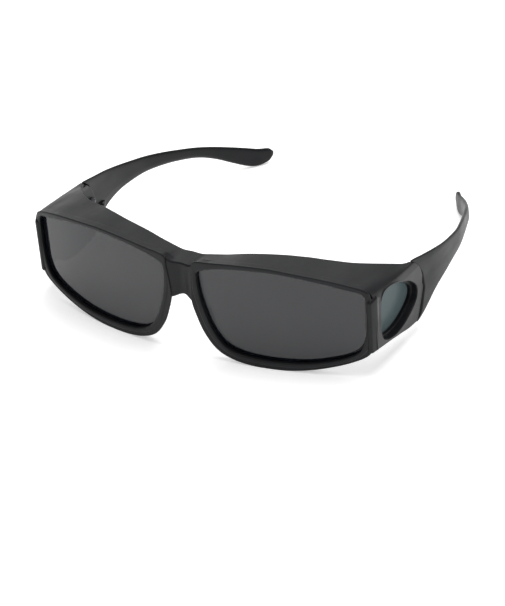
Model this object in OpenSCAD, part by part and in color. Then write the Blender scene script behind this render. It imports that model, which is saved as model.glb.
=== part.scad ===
// Wrap-round sunglasses worn over ordinary glasses, drawn as they rest on a table.
// Lengths are in millimetres. X runs to the viewer's right, the lenses face -Y, Z is up.
// The front rests on its lower rims and the temples rest on their drooping tips,
// and the hinge axes stand upright.

/* [Frame] */
// Width across the side walls at the temple joints
frame_w = 147.2; // [138:0.2:158]
// Height of the crest of the brow above the table
frame_h = 46.85; // [43:0.05:51]
// Radius of the wrap of the lenses and rims, seen from above
wrap_r = 166; // [140:1:220]
// Rearward lean of the front for each millimetre down
face_lean = 0.15; // [0.1:0.01:0.2]
// Thickness of the moulded brow and side walls
wall_t = 2.4; // [1.8:0.1:3]
// Height of the rim bead above the brow surface
bead_rise = 0.35; // [0.2:0.05:0.6]
// Depth of the scoop in the face of the bridge
bridge_scoop = 1.7; // [0:0.1:2.4]
// How far the nose edges of the rims reach to the rear
nose_reach = 6.4; // [5.5:0.1:8]
// Slope of the nose edges of the rims, away from the nose to the rear
nose_splay = 0.45; // [0.2:0.05:0.6]

/* [Lenses] */
// Thickness of a front lens
lens_t = 2.0; // [1.6:0.1:2.4]
// Depth of a front lens behind the face of its rim
reveal = 1.5; // [1.2:0.1:2]
// Depth of the groove that holds a lens edge
groove_d = 1.0; // [0.7:0.1:1.3]
// Thickness of a side lens
side_lens_t = 1.6; // [1.2:0.1:2]
// Depth of a side lens behind the outer wall
side_recess = 4.3; // [3.6:0.1:4.8]
// Gap between a lens and its groove
lens_gap = 0.15; // [0.1:0.05:0.25]

/* [Temples] */
// Thickness of a temple at its joint
temple_t = 2.5; // [2.2:0.1:3]
// Thickness of a temple near its tip
tip_t = 2.3; // [2:0.1:2.8]
// Gap between the side wall and the temple
joint_gap = 0.4; // [0.3:0.05:0.6]

/* [Hinges] */
// Radius of the hinge barrels
barrel_r = 1.6; // [1.4:0.1:1.9]
// Height of one of the three barrels
barrel_h = 3.4; // [2.6:0.1:4]
// Gap between two barrels
barrel_gap = 0.1; // [0.08:0.01:0.15]
// Radius of the shank of the hinge screw
screw_r = 0.7; // [0.6:0.05:0.8]
// Gap round the screw shank in the barrels
screw_gap = 0.05; // [0.03:0.01:0.08]
// Thickness of a hinge leaf
leaf_t = 0.9; // [0.7:0.1:1.1]
// Radius of the pins that fix the leaves
pin_r = 0.6; // [0.5:0.05:0.7]

/* [Hidden] */

// Datum: the front of the wrap, and the middle of the whole depth
face_y = 1.4;
mid_y = 85.4;
far = 200;
eps = 0.01;

// Small finishing sizes and fits shared by several modules
edge = 0.6;
pin_fit = 0.03;
pin_hole_d = 2.2;
head_r = 1.1;
head_h = 0.35;
barrel_clear = 0.3;
screw_head_r = 1.3;
screw_head_h = 0.8;
slot_w = 0.4;
window_wall = 0.82;
rim_depth = reveal + lens_t + 2 * lens_gap + 1.1;
groove_w = lens_t + 2 * lens_gap;
rim_steps = 2;

// Edge of the lens opening and outer edge of the rim, in pairs round the right eye
// Each row: opening x, opening z, rim x, rim z
SPOKES = [
    [7.9, 39.9, 6.3, 44.0],
    [13.6, 42.3, 13.6, 45.3],
    [23.5, 44.1, 23.5, 46.4],
    [35.3, 44.75, 35.2, 46.85],
    [44, 44.1, 44.3, 46.0],
    [54.5, 42.2, 55.3, 44.3],
    [63, 39.9, 64.5, 42.0],
    [68.2, 38.3, 70.3, 39.4],
    [69.7, 35.9, 72.5, 35.6],
    [70, 30, 73.2, 29.5],
    [69.95, 23.5, 73.3, 23],
    [69.2, 16.5, 72.8, 16],
    [67.2, 11.6, 70.6, 10.4],
    [62.8, 8.5, 65, 6.5],
    [55, 5.8, 56.2, 3.2],
    [46.5, 4.05, 47.2, 0.95],
    [37.5, 3.45, 38, -0.2],
    [29.2, 3.6, 28.6, -0.1],
    [21.5, 4.75, 19.9, 1.4],
    [15.9, 7.8, 13.2, 5.0],
    [12, 13.7, 8.5, 11.8],
    [9.6, 20.4, 5.8, 19.2],
    [7.9, 27.2, 4.3, 25.6],
    [7.15, 33.5, 4.6, 32.5],
    [7.1, 37.4, 5.4, 38.8]];

// Brow and side wall, seen from the front
// Each row: x, height at the front edge, fall for each millimetre to the rear
BROW = [
    [0, 41.0, -0.04],
    [3.2, 41.2, 0],
    [5.2, 42.1, 0.06],
    [7.2, 43.25, 0.12],
    [10.5, 44.3, 0.16],
    [14.5, 45.1, 0.17],
    [21, 45.95, 0.125],
    [28, 46.55, 0.08],
    [35, 46.5, 0.06],
    [41.5, 45.95, 0.085],
    [48, 45.15, 0.12],
    [55, 43.95, 0.12],
    [61, 42.6, 0.12],
    [66.5, 40.9, 0.125],
    [69.3, 39.5, 0.115],
    [71.2, 37.9, 0.085],
    [72.2, 35.6, 0.04],
    [72.7, 32, 0.02]];

// Half width of the side walls along the depth: y, x
FLARE = [[-6, 72.9], [21, 72.9], [30, 73.4], [41, 73.8], [56, 73.6], [68, 73.6]];

// Rear edge of the brow seen from above: x, y
BROW_REAR = [[0, 14.7], [7, 15.3], [13.7, 16.6], [20.5, 17.6], [27.6, 18.4], [33.9, 20.4], [39.4, 23.6],
    [44.7, 27.4], [50.2, 30.9], [55.9, 34.3], [60.7, 39], [65.1, 44.9], [69.2, 51.2], [70.6, 55]];

// Lower edge of the side wall: y, z
SIDE_LOW = [[12, 13.6], [22, 12.6], [27, 11.8], [35, 10.7], [44, 9.1], [53, 7.2], [61, 6.4], [68, 6.2]];

// Outline of the side window: y, z
WINDOW = [[26.9, 30.5], [28.0, 34.1], [31.2, 35.2], [38, 34.1], [46, 31.2], [53.5, 27.4],
    [58.6, 23], [59.3, 18.3], [55.2, 14.6], [47.5, 11.9], [39, 11.5], [31.4, 13.3], [28.2, 17.5],
    [27.3, 23.5]];

// Temple, from its joint to its tip
// Each row: outer x, y, lower edge z, upper edge z
TEMPLE = [
    [73.6, 50, 4.2, 36.2],
    [73.7, 58, 5.3, 34.8],
    [74.1, 66, 8.1, 33.1],
    [74.4, 75.5, 13.5, 31.2],
    [74.1, 85.3, 16.1, 29.1],
    [73.1, 94.5, 17.1, 27.2],
    [71.6, 104.5, 17.3, 25.2],
    [69.3, 113.5, 16.7, 23.3],
    [66.4, 123, 15.4, 21.0],
    [62.7, 134.2, 12.8, 18.0],
    [58.9, 143.5, 9.0, 15.0],
    [54.7, 151.7, 4.4, 12.1],
    [50.9, 158, 1.1, 9.8],
    [48.0, 162.3, 0, 8.2],
    [45.5, 166.5, 0.8, 7.2],
    [44.1, 168.6, 2.5, 6.1]];

// The outlines stretch with the frame, from the half width and the crest they were drawn with
kx = frame_w / (2 * TEMPLE[0][0]);
kz = frame_h / SPOKES[3][3];

// The joint between side wall and temple is an arc about a crosswise line. Its rearmost
// point stays put, clear of the side window, so that the hinge keeps its room.
joint_rear = 65.1;
joint_z = 18.7 * kz;
joint_r = 18.1 * kz;
joint_y = joint_rear - joint_r;

// Hinge axis: just inboard of the walls, level with the rear of the joint arc
seat_x = frame_w / 2 - temple_t - 0.2;
axis_x = seat_x - barrel_r - barrel_clear;
axis_y = joint_rear + 0.2;
axis_z = 15 * kz;
stack_h = 3 * barrel_h + 2 * barrel_gap;
bore_r = screw_r + screw_gap;
seat_gap = 0.02;

// Smooth curve through points, with n steps between neighbours
function blend(a, b, c, d, t) =
    0.5 * (2 * b + (c - a) * t + (2 * a - 5 * b + 4 * c - d) * t * t + (3 * b - a - 3 * c + d) * t * t * t);
function closed(p, n) = [for (i = [0:len(p) - 1]) for (k = [0:n - 1])
    blend(p[(i + len(p) - 1) % len(p)], p[i], p[(i + 1) % len(p)], p[(i + 2) % len(p)], k / n)];
function open(p, n) = concat([for (i = [0:len(p) - 2]) for (k = [0:n - 1])
    blend(p[max(i - 1, 0)], p[i], p[i + 1], p[min(i + 2, len(p) - 1)], k / n)], [p[len(p) - 1]]);
function stretch(p, a, b) = [for (q = p) [q[0] * a, q[1] * b]];
function unit(v) = v / norm(v);
function bump(x, w) = abs(x) < w ? pow(cos(90 * x / w), 2) : 0;

// Depth of the face of the front at a place seen from the front
function face(x, z) = face_y + wrap_r - sqrt(wrap_r * wrap_r - x * x) + face_lean * (frame_h - z);

// Skin of a closed sweep from rings of points; ends capped or joined
function skin(rows, cols, join) = [for (i = [0:rows - (join ? 1 : 2)]) for (j = [0:cols - 1])
    for (f = [[i * cols + j, i * cols + (j + 1) % cols, ((i + 1) % rows) * cols + (j + 1) % cols],
        [i * cols + j, ((i + 1) % rows) * cols + (j + 1) % cols, ((i + 1) % rows) * cols + j]]) f];

module sweep(rings, join) {
    cols = len(rings[0]);
    pts = [for (r = rings) for (p = r) p];
    caps = join ? [] : [[for (j = [cols - 1:-1:0]) j],
        [for (j = [0:cols - 1]) (len(rings) - 1) * cols + j]];
    polyhedron(pts, concat(skin(len(rings), cols, join), caps), convexity = 8);
}

// Everything is drawn from the front datum and then centred on its depth
module place() {
    translate([0, -mid_y, 0])
        children();
}

module sides() {
    children();
    mirror([1, 0, 0])
        children();
}

// Outline drawn in y and z, pushed along x
module across(x0, x1) {
    translate([x0, 0, 0])
        rotate([90, 0, 90])
            linear_extrude(x1 - x0)
                children();
}

module at_hinge() {
    translate([axis_x, axis_y, axis_z])
        children();
}

// Rim round one eye
RIM = closed([for (s = SPOKES) [s[0] * kx, s[1] * kz, s[2] * kx, s[3] * kz]], rim_steps);
function rim_at(s, w, d) =
    let (a = [s[0], s[1]], b = [s[2], s[3]], p = a + unit(b - a) * w)
    [p[0], face(p[0], p[1]) + d, p[1]];
function rim_w(s) = norm([s[2] - s[0], s[3] - s[1]]);

// Share of the nose shape at a station: full beside the nose, none elsewhere
first_nose = 19 * rim_steps;
last_nose = 22.5 * rim_steps;
function beside_nose(i) = i <= first_nose || i >= last_nose ? 0 :
    sin(180 * (i - first_nose) / (last_nose - first_nose));

// Share of the shallow groove between the lip round the lens and the outer rim:
// none along the brow, full down the outer side, the bottom and the nose
function ramp(a, b, i) = max(0, min(1, (i - a) / (b - a)));
function groove_share(i) = ramp(7 * rim_steps, 8.5 * rim_steps, i) * ramp(24 * rim_steps, 22 * rim_steps, i);
lip_w = 1.65;

module rim() {
    rings = [for (i = [len(RIM) - 1:-1:0]) let (s = RIM[i], w = rim_w(s), k = beside_nose(i),
        f = max(w - 2.4 - nose_splay * k * rim_depth, 0.4 * w),
        r = rim_depth + 0.05 + (nose_reach - rim_depth) * k,
        o = w - bead_rise + 0.04, lean = nose_splay * k, g = groove_share(i)) [
        rim_at(s, 0, edge),
        rim_at(s, 0, reveal),
        rim_at(s, groove_d, reveal),
        rim_at(s, groove_d, reveal + groove_w),
        rim_at(s, 0, reveal + groove_w),
        rim_at(s, 0, rim_depth),
        rim_at(s, f, rim_depth),
        rim_at(s, f + edge / 4, r),
        rim_at(s, w - 2 * edge - lean * (r - 1.2), r),
        rim_at(s, o - lean * (r - edge - 1.2), r - edge),
        rim_at(s, o - lean * 1.1, 2.3),
        rim_at(s, w - edge / 4 - lean * 0.5, 1.7),
        rim_at(s, w, 1.3),
        rim_at(s, w - edge / 4, edge),
        rim_at(s, w - 1.3 * edge, 0.15 + 0.1 * g),
        rim_at(s, (w - 1.5 * edge) * (1 - g) + (lip_w + 0.4) * g, 0.1 + 0.4 * g),
        rim_at(s, (w - 1.7 * edge) * (1 - g) + lip_w * g, 0.05),
        rim_at(s, edge, 0.1)]];
    sweep(rings, true);
}

// Slab that follows the wrap, from depth d0 to d1
module wrap_slab(d0, d1) {
    rings = [for (i = [0:10]) let (x = (3 + i * 7) * kx) [
        [x, face(x, -5) + d0, -5],
        [x, face(x, 50) + d0, 50],
        [x, face(x, 50) + d1, 50],
        [x, face(x, -5) + d1, -5]]];
    sweep(rings, false);
}

// Outline of the lens opening, w wider all round
module lens_outline(w) {
    translate([0, far, 0])
        rotate([90, 0, 0])
            linear_extrude(2 * far)
                polygon([for (s = RIM) let (p = rim_at(s, w, 0)) [p[0], p[2]]]);
}

// Bridge between the rims, with its scooped face and low arch. Its ends stop inside
// the rims' walls, short of the lens grooves.
ENDS = [[24, 5.4], [33, 5.3], [38, 5.9], [42, 6.5]];
BROW_TOP = open([for (b = BROW) [b[0] * kx, b[1] * kz]], 2);
function half_at(z) = lookup(z / kz, ENDS) * kx;
function arch(x) = (24.6 + 1.8 * bump(x, half_at(0))) * kz;
function crest(x) = lookup(abs(x), BROW_TOP) + 0.03;
function front(x, z) = face(x, z) + 0.75 + bridge_scoop * bump(x, half_at(z));
function bridge_at(x, z, d) = let (q = x * half_at(z) / half_at(0)) [q, face(q, z) + d, z];
function bridge_face(x, z, d) = let (q = x * half_at(z) / half_at(0)) [q, front(q, z) + d, z];

module bridge() {
    rings = [for (i = [5:-1:-5]) let (x = half_at(0) * i / 5, top = crest(x * half_at(far) / half_at(0))) [
        bridge_face(x, top, edge),
        bridge_face(x, top - edge, 0),
        bridge_face(x, arch(x) + edge, 0),
        bridge_face(x, arch(x), edge),
        bridge_at(x, arch(x), nose_reach - edge),
        bridge_at(x, arch(x) + 3, nose_reach - 2 * edge),
        bridge_at(x, top - 2.2, nose_reach - edge),
        bridge_at(x, top, 4.8)]];
    sweep(rings, false);
}

// Brow and side walls: one arched skin, laid out station by station across the front.
// Over the brow a station is a row of the table, down the walls a share of their height.
wall_rows = 12;
BROW_HALF = open([for (b = BROW) [b[0] * kx, b[1] * kz, b[2]]], 2);
shoulder = len(BROW_HALF) - 1;
last_row = shoulder + wall_rows;
LOW = open(stretch(SIDE_LOW, 1, kz), 2);

function row_z(i, y) =
    let (b = BROW_HALF[min(i, shoulder)], z = b[1] + b[2] * (face(b[0], b[1]) - y))
    i <= shoulder ? z : z + (lookup(y, LOW) - z) * (i - shoulder) / wall_rows;
function row_x(i, y) = BROW_HALF[min(i, shoulder)][0] * lookup(y, FLARE) / FLARE[0][1];
function row(i, y) = [row_x(i, y), row_z(i, y)];

// A place on the skin, d inward from its outer face
function skin_at(i, y, d) =
    let (t = unit(row(min(i + 1, last_row), y) - (i == 0 ? [-1, 0] : row(i - 1, y))),
        n = i == 0 ? [0, -1] : [t[1], -t[0]], p = row(i, y) + d * n)
    [p[0], y, p[1]];

// Front and rear ends of a station: behind the lens groove, and at the brow's edge
// or the joint arc, whichever comes first
function row_front(i) =
    let (x = BROW_HALF[min(i, shoulder)][0], z = row_z(i, 27))
    x < 5.5 * kx ? front(x, z) + edge : face(x, z) + reveal + groove_w + 0.15;
inboard = BROW_REAR[len(BROW_REAR) - 1][0];
function joint_at(z) = joint_y + sqrt(max(joint_r * joint_r - pow(z - joint_z, 2), 0));
function rear_from(i, y, n) =
    let (x = BROW_HALF[min(i, shoulder)][0] / kx,
        r = min(x < inboard ? lookup(x, REAR) : far, joint_at(row_z(i, y))))
    n == 0 ? r : rear_from(i, r, n - 1);
REAR = open(BROW_REAR, 3);

function station(i) =
    let (a = row_front(i), b = rear_from(i, 50, 8))
    concat([for (k = [0:4]) skin_at(i, a + (b - edge / 2 - a) * k / 4, 0)],
        [skin_at(i, b, edge / 2), skin_at(i, b, wall_t)],
        [for (k = [3:-1:0]) skin_at(i, a + (b - a) * k / 4, wall_t)]);
function flipped(ring) = [for (p = ring) [-p[0], p[1], p[2]]];

module hood() {
    sweep(concat([for (i = [last_row:-1:1]) flipped(station(i))], [for (i = [0:last_row]) station(i)]), false);
}

module window(grow) {
    offset(delta = grow)
        polygon(closed(stretch(WINDOW, 1, kz), 2));
}

side_x = frame_w / 2 - side_recess;
shaft_x = frame_w / 2 - 2.6;
lip_x = side_x - side_lens_t - 2 * lens_gap - 0.9;

// Frame round the side window, standing inward from the wall
module window_frame() {
    across(lip_x, frame_w / 2 - wall_t + 0.4)
        window(window_wall);
}

// Stepped tunnel of the side window with the groove for its lens
module window_cut() {
    across(shaft_x, far / 2)
        window(0);
    across(lip_x - 1, shaft_x + eps)
        window(-groove_d);
    across(side_x - side_lens_t - lens_gap, side_x + lens_gap)
        window(0);
}

// Shallow thumb-shaped recess down the pillar between rim and window
thumb_r = 8;
module pillar_recess() {
    translate([frame_w / 2 - 0.75 + thumb_r, 24.4, 17 * kz]) {
        cylinder(h = 16 * kz, r = thumb_r, $fn = 72);
        sphere(thumb_r, $fn = 72);
        translate([0, 0, 16 * kz])
            sphere(thumb_r, $fn = 72);
    }
}

// Fillet from the lower outer corner of the rim to the side wall
module corner_fillet() {
    hull() {
        translate([frame_w / 2 - 3, 24.6, 11.5 * kz])
            sphere(1, $fn = 16);
        translate([frame_w / 2 - 1.8, 25.6, 17 * kz])
            sphere(1, $fn = 16);
        translate([frame_w / 2 - 1.3, 36, 11.6 * kz])
            sphere(0.8, $fn = 16);
    }
}

// Flat seats for the hinge leaves inside the walls
module front_seat() {
    for (p = FRONT_PINS)
        hull() {
            across(seat_x, frame_w / 2 - 1.5)
                translate([axis_y - 2.9, axis_z + p[1] * 0.2])
                    circle(1.7, $fn = 24);
            across(seat_x, frame_w / 2 - 1.5)
                translate([axis_y + p[0], axis_z + p[1]])
                    circle(2, $fn = 24);
        }
}

// Places of the pins from the hinge axis: y, z
FRONT_PINS = [[-4.1, 9], [-4.6, -5]];
TEMPLE_PINS = [[3.7, -1.2], [3.7, 2.4]];

module front_leaf_pins() {
    for (p = FRONT_PINS)
        leaf_pin(p[0], p[1]);
}

module front_pin_holes() {
    at_hinge()
        for (p = FRONT_PINS)
            translate([seat_x - axis_x - 0.2, p[0], p[1]])
                rotate([0, 90, 0])
                    cylinder(h = pin_hole_d, r = pin_r + pin_fit, $fn = 24);
}

// The whole moulding, brought to its exact width across the side walls
module moulding() {
    resize([frame_w, 0, 0])
        difference() {
            union() {
                sides()
                    rim();
                bridge();
                hood();
                sides()
                    window_frame();
                sides()
                    corner_fillet();
                sides()
                    front_seat();
            }
            sides()
                window_cut();
            sides()
                pillar_recess();
            // Flats on which the rims rest
            translate([-far / 2, 0, -20])
                cube([far, far, 20]);
        }
}

module front_frame() {
    color([0.1, 0.1, 0.11])
        difference() {
            moulding();
            sides()
                front_pin_holes();
        }
}

// Front lens: a slice of the wrap cut to the groove
module front_lens() {
    intersection() {
        wrap_slab(reveal + lens_gap, reveal + lens_gap + lens_t);
        lens_outline(groove_d - lens_gap);
    }
}

module side_lens() {
    across(side_x - side_lens_t, side_x)
        polygon([for (p = closed(stretch(WINDOW, 1, kz), 2))
            [44 + (p[0] - 44) * (1 - lens_gap / 15), 22 + (p[1] - 22) * (1 - lens_gap / 9)]]);
}

// Temple section: flat inside, crowned outside, softened at its edges
function temple_ring(a, b, c) =
    let (t = unit([b[0] - a[0], b[1] - a[1]]), n = [t[1], -t[0]], h = c[3] - c[2],
        k = (c[1] - 50) / 118, th = temple_t + (tip_t - temple_t) * k, s = 1 - 0.55 * k,
        e = min(edge, h / 4), u = 1.2 * (1 - k))
    [for (q = [[0.5, 0], [0.15, 0.03], [0, 0.1], [0.2 * s, 0.45], [0.55 * s, 0.72], [0.9 * s, 0.9],
        [1.4 * s, 0.985], [th - e, 1], [th - e / 4, 1 - e / h], [th, 1 - 3 * e / h], [th, 0.35],
        [th - e / 2, (e + u) / h], [th - 1.8 * e, 0.6 * u / h]])
        [c[0] - n[0] * q[0], c[1] - n[1] * q[0], c[2] + h * q[1]]];

module temple_body() {
    p = open([for (t = TEMPLE) [t[0] * kx, t[1], t[2] * kz, t[3] * kz]], 2);
    rings = [for (i = [0:len(p) - 1])
        temple_ring(p[max(i - 1, 0)], p[min(i + 1, len(p) - 1)], p[i])];
    sweep(rings, false);
}

module temple() {
    color([0.1, 0.1, 0.11])
        difference() {
            union() {
                temple_body();
                // Flat seat for the hinge leaf, fading into the inner face
                hull() {
                    translate([seat_x, axis_y + 1.6, axis_z - 3.2])
                        cube([1.4, 4.6, 7.6]);
                    translate([seat_x + 1.2, axis_y + 8, axis_z - 2])
                        cube([0.6, 1, 5.2]);
                }
            }
            across(seat_x - 5, far)
                translate([joint_y, joint_z])
                    circle(joint_r + joint_gap, $fn = 96);
            at_hinge()
                for (p = TEMPLE_PINS)
                    translate([seat_x - axis_x - 0.2, p[0], p[1]])
                        rotate([0, 90, 0])
                            cylinder(h = pin_hole_d, r = pin_r + pin_fit, $fn = 24);
        }
}

leaf_x = seat_x - axis_x - leaf_t - seat_gap;
leaf_end_r = 1.5;

module barrel(z0) {
    translate([0, 0, z0])
        cylinder(h = barrel_h, r = barrel_r, $fn = 48);
}

// Arm from a barrel to its leaf plate
module arm(y0, y1, z0) {
    translate([leaf_x - 0.9, min(y0, y1), z0])
        cube([leaf_t + 0.9, abs(y1 - y0), barrel_h]);
}

module front_leaf() {
    color([0.75, 0.75, 0.77])
        at_hinge()
            difference() {
                union() {
                    for (z = [-stack_h / 2, stack_h / 2 - barrel_h]) {
                        barrel(z);
                        arm(-2.6, 0, z);
                    }
                    translate([leaf_x, -4.2, -stack_h / 2])
                        cube([leaf_t, 2.2, stack_h]);
                    for (p = FRONT_PINS) {
                        translate([leaf_x, p[0], p[1]])
                            rotate([0, 90, 0])
                                cylinder(h = leaf_t, r = 1.7, $fn = 40);
                        translate([leaf_x, p[0] - 0.4, min(p[1], sign(p[1]) * 4)])
                            cube([leaf_t, -p[0] - 2.8, abs(p[1]) - 4]);
                    }
                }
                translate([0, 0, -stack_h / 2 - 1])
                    cylinder(h = stack_h + 2, r = bore_r, $fn = 32);
                translate([0, 0, -barrel_h / 2 - barrel_gap])
                    cylinder(h = barrel_h + 2 * barrel_gap, r = barrel_r + barrel_clear, $fn = 48);
                for (p = FRONT_PINS)
                    translate([leaf_x - 1, p[0], p[1]])
                        rotate([0, 90, 0])
                            cylinder(h = leaf_t + 2, r = pin_r + pin_fit, $fn = 24);
            }
}

module temple_leaf() {
    color([0.75, 0.75, 0.77])
        at_hinge()
            difference() {
                union() {
                    barrel(-barrel_h / 2);
                    arm(0, 2.6, -barrel_h / 2);
                    translate([leaf_x, 2.2, TEMPLE_PINS[0][1]])
                        cube([leaf_t, TEMPLE_PINS[0][0] + leaf_end_r - 2.2, TEMPLE_PINS[1][1] - TEMPLE_PINS[0][1]]);
                    for (p = TEMPLE_PINS)
                        translate([leaf_x, p[0], p[1]])
                            rotate([0, 90, 0])
                                cylinder(h = leaf_t, r = leaf_end_r, $fn = 48);
                }
                translate([0, 0, -stack_h])
                    cylinder(h = 2 * stack_h, r = bore_r, $fn = 32);
                for (p = TEMPLE_PINS)
                    translate([leaf_x - 1, p[0], p[1]])
                        rotate([0, 90, 0])
                            cylinder(h = leaf_t + 2, r = pin_r + pin_fit, $fn = 24);
            }
}

module hinge_screw() {
    color([0.7, 0.7, 0.72])
        at_hinge()
            difference() {
                union() {
                    translate([0, 0, -stack_h / 2 - 0.3])
                        cylinder(h = stack_h + 0.4, r = screw_r, $fn = 32);
                    translate([0, 0, stack_h / 2 + 0.05])
                        cylinder(h = screw_head_h, r = screw_head_r, $fn = 40);
                }
                translate([-2, -slot_w / 2, stack_h / 2 + 0.5])
                    cube([4, slot_w, 1]);
            }
}

module leaf_pin(y, z) {
    color([0.7, 0.7, 0.72])
        at_hinge()
            translate([leaf_x, y, z])
                rotate([0, 90, 0]) {
                    translate([0, 0, -head_h])
                        cylinder(h = head_h - seat_gap, r1 = head_r - 0.3, r2 = head_r, $fn = 32);
                    translate([0, 0, -0.1])
                        cylinder(h = leaf_t + 1.6, r = pin_r, $fn = 24);
                }
}

module temple_leaf_pins() {
    for (p = TEMPLE_PINS)
        leaf_pin(p[0], p[1]);
}

module on_left() {
    mirror([1, 0, 0])
        children();
}

place() front_frame();
color([0.2, 0.2, 0.21]) place() front_lens();  // right_front_lens
color([0.2, 0.2, 0.21]) place() on_left() front_lens();  // left_front_lens
color([0.3, 0.36, 0.38]) place() side_lens();  // right_side_lens
color([0.3, 0.36, 0.38]) place() on_left() side_lens();  // left_side_lens
place() temple();  // right_temple
place() on_left() temple();  // left_temple
place() front_leaf();  // right_front_leaf
place() on_left() front_leaf();  // left_front_leaf
place() temple_leaf();  // right_temple_leaf
place() on_left() temple_leaf();  // left_temple_leaf
place() hinge_screw();  // right_hinge_screw
place() on_left() hinge_screw();  // left_hinge_screw
place() front_leaf_pins();  // right_front_leaf_pins
place() on_left() front_leaf_pins();  // left_front_leaf_pins
place() temple_leaf_pins();  // right_temple_leaf_pins
place() on_left() temple_leaf_pins();  // left_temple_leaf_pins
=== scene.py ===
"""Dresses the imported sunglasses: moulding, lenses, temples, hinge fittings and a plain studio."""

import math

import bmesh
import bpy
from mathutils import Matrix, Vector


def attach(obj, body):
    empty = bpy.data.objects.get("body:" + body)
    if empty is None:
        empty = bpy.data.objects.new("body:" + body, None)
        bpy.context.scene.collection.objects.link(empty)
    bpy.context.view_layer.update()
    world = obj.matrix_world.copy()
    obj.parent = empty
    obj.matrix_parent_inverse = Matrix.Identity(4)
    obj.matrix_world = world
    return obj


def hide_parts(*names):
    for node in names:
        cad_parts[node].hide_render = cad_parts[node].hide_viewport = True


bl_info = {
    "name": "Over-glasses sunglasses",
    "version": (1, 0, 0),
    "blender": (4, 5, 0),
    "location": "View3D > Sidebar > Sunglasses",
    "description": "Builds the finish of a pair of wrap-round sunglasses over its packed parts",
    "category": "Object",
}

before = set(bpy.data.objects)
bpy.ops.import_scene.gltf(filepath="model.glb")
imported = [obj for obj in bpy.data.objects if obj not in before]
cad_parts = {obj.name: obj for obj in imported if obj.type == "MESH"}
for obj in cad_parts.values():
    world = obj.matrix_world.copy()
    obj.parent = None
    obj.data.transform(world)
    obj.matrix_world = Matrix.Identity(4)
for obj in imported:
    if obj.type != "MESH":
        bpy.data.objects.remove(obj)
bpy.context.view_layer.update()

MM = 0.001
# Shapes are drawn in millimetres from the front; the row frame has y = 0 this far behind it
MID_Y = 85.4

# Edge of the lens opening and outer edge of the rim: opening x, opening z, rim x, rim z
SPOKES = [
    (7.9, 39.9, 6.3, 44.0), (13.6, 42.3, 13.6, 45.3), (23.5, 44.1, 23.5, 46.4),
    (35.3, 44.75, 35.2, 46.85), (44, 44.1, 44.3, 46.0), (54.5, 42.2, 55.3, 44.3),
    (63, 39.9, 64.5, 42.0), (68.2, 38.3, 70.3, 39.5), (69.7, 35.9, 71.8, 36.3),
    (70, 30, 72.4, 29.8), (69.95, 23.5, 72.4, 23.3), (69.2, 16.5, 72.0, 16.0),
    (67.2, 11.6, 70.6, 10.2), (62.8, 8.5, 65, 6.5), (55, 5.8, 56.2, 3.2),
    (46.5, 4.05, 47.2, 0.95), (37.5, 3.45, 38, -0.2), (29.2, 3.6, 28.6, -0.1),
    (21.5, 4.75, 19.9, 1.4), (15.9, 7.8, 13.2, 5.0), (12, 13.7, 8.5, 11.8),
    (9.6, 20.4, 5.8, 19.2), (7.9, 27.2, 4.3, 25.6), (7.15, 33.5, 4.6, 32.5),
    (7.1, 37.4, 5.4, 38.8),
]

# Brow and shoulder: x, height at the front edge, fall for each millimetre to the rear
BROW = [
    (0, 41.0, -0.04), (3.2, 41.2, 0), (5.2, 42.1, 0.06), (7.2, 43.25, 0.12),
    (10.5, 44.3, 0.16), (14.5, 45.1, 0.17), (21, 45.95, 0.125), (28, 46.55, 0.08),
    (35, 46.5, 0.06), (41.5, 45.95, 0.085), (48, 45.15, 0.12), (55, 43.95, 0.12),
    (61, 42.6, 0.12), (66.5, 40.9, 0.125), (69.3, 39.9, 0.13), (71.2, 38.4, 0.105),
    (72.2, 36.3, 0.06), (72.7, 32.5, 0.03),
]
# Side wall: y and outer x; brow's rear edge: x and y; side wall's lower edge: y and z
FLARE = [(-6, 72.9), (20, 72.9), (25, 73.3), (31, 73.55), (41, 73.8), (56, 73.6), (68, 73.6)]
BROW_REAR = [
    (0, 14.7), (7, 15.3), (13.7, 16.6), (20.5, 17.6), (27.6, 18.4), (33.9, 20.4), (39.4, 23.6),
    (44.7, 27.4), (50.2, 30.9), (55.9, 34.3), (60.7, 39), (65.1, 44.9), (69.2, 51.2), (70.6, 55),
]
SIDE_LOW = [(12, 13.6), (22, 12.6), (27, 11.8), (35, 10.7), (44, 9.1), (53, 7.2), (61, 6.4), (68, 6.2)]

# Outline of the side window: y, z
WINDOW = [
    (26.9, 30.5), (28.0, 34.1), (31.2, 35.2), (38, 34.1), (46, 31.2), (53.5, 27.4), (58.6, 23),
    (59.3, 18.3), (55.2, 14.6), (47.5, 11.9), (39, 11.5), (31.4, 13.3), (28.2, 17.5), (27.3, 23.5),
]

# Temple from joint to tip: outer x, y, lower edge z, upper edge z
TEMPLE = [
    (73.6, 50, 4.2, 36.2), (73.7, 58, 5.3, 34.8), (74.1, 66, 8.1, 33.1), (74.4, 75.5, 13.5, 31.2),
    (74.1, 85.3, 16.1, 29.1), (73.1, 94.5, 17.1, 27.2), (71.6, 104.5, 17.3, 25.2),
    (69.3, 113.5, 16.7, 23.3), (66.4, 123, 15.4, 21.0), (62.7, 134.2, 12.8, 18.0),
    (58.9, 143.5, 9.0, 15.0), (54.7, 151.7, 4.4, 12.1), (50.9, 158, 1.1, 9.8),
    (48.0, 162.3, 0, 8.2), (45.5, 166.5, 0.8, 7.2), (44.1, 168.6, 2.5, 6.1),
]

# The joint arc between side wall and temple: y, z and radius. The hinge axis: x, y, z
JOINT = (47.0, 18.7, 18.1)
HINGE = (69.0, 65.3, 15.0)
# Pins of each leaf, as y and z from the hinge axis
FRONT_PINS = [(-4.1, 9.0), (-4.6, -5.0)]
TEMPLE_PINS = [(3.7, -1.2), (3.7, 2.4)]


# ---- shapes


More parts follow.
